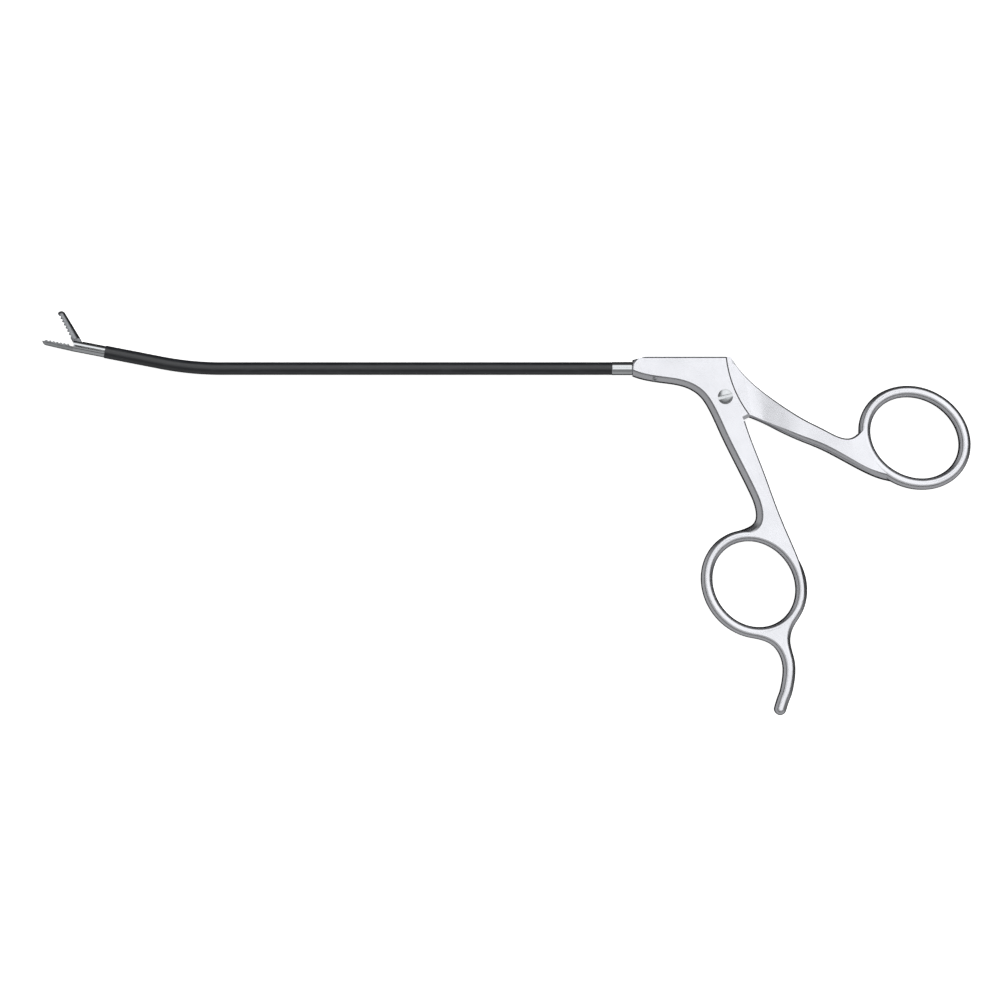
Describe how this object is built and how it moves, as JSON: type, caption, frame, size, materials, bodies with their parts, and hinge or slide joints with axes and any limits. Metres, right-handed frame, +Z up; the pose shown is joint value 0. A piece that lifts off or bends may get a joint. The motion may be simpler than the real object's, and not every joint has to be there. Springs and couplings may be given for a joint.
{
  "type": "endoscopic grasping forceps",
  "caption": "Ring-handled grasping forceps with a malleable insulated shaft, a bent tip, a fixed jaw and a hinged toothed jaw.",
  "frame": {"origin": "where the pivot screw's axis meets the plane that the instrument lies on, lying on its side", "axes": "+X along the straight shaft towards the handles, +Y in the handle plane towards the shaft side, +Z up through the thickness"},
  "size_m": [0.2819, 0.1226, 0.0066],
  "materials": {
    "satin_steel": "satin polished",
    "polished_steel": "polished",
    "jaw_steel": "polished",
    "screw_steel": "turned",
    "tube_steel": "drawn",
    "black_sleeve": "satin",
    "bush_plastic": "smooth"
  },
  "bodies": {
    "root": {"front_handle": "satin_steel", "pivot_screw": "screw_steel", "shaft_set_screw": "screw_steel", "shaft_ferrule": "polished_steel", "rod_guide_bush": "bush_plastic", "malleable_tube": "tube_steel", "insulation_sleeve": "black_sleeve", "tube_liner": "bush_plastic", "tip_guide_bush": "bush_plastic", "jaw_housing": "jaw_steel", "jaw_pivot_pin": "screw_steel"},
    "rear_handle": {"rear_handle": "satin_steel"},
    "pull_rod": {"pull_rod": "tube_steel", "rod_ball": "tube_steel", "rear_crimp": "tube_steel"},
    "bend_cable": {"bend_cable": "tube_steel"},
    "jaw_rod": {"jaw_rod": "tube_steel", "front_crimp": "tube_steel", "link_pin": "tube_steel"},
    "upper_jaw": {"upper_jaw": "jaw_steel"}
  },
  "joints": [
    {"name": "handle_pivot", "type": "hinge", "parent": "root", "child": "rear_handle", "pos_m": [0, 0, 0.003], "axis": [0, 0, 1], "range_deg": [-7.56, 0]},
    {"name": "pull_rod_slide", "type": "slide", "parent": "root", "child": "pull_rod", "axis": [1, 0, 0], "range_m": [0, 0.00114]},
    {"name": "cable_travel", "type": "hinge", "parent": "root", "child": "bend_cable", "pos_m": [-0.153, 0.1036, 0.003], "axis": [0, 0, 1], "range_deg": [0, 0.68466]},
    {"name": "jaw_rod_slide", "type": "slide", "parent": "root", "child": "jaw_rod", "axis": [0.9816, -0.1908, 0], "range_m": [0, 0.00114]},
    {"name": "upper_jaw_pivot", "type": "hinge", "parent": "root", "child": "upper_jaw", "pos_m": [-0.19656, 0.01631, 0.003], "axis": [0, 0, 1], "range_deg": [0, 51]}
  ],
  "couplings": [
    {"joint": "pull_rod_slide", "follows": "handle_pivot", "m_per_rad": -0.0086},
    {"joint": "cable_travel", "follows": "handle_pivot", "ratio": -0.090526},
    {"joint": "jaw_rod_slide", "follows": "handle_pivot", "m_per_rad": -0.0086},
    {"joint": "upper_jaw_pivot", "follows": "handle_pivot", "ratio": -6.7433}
  ]
}
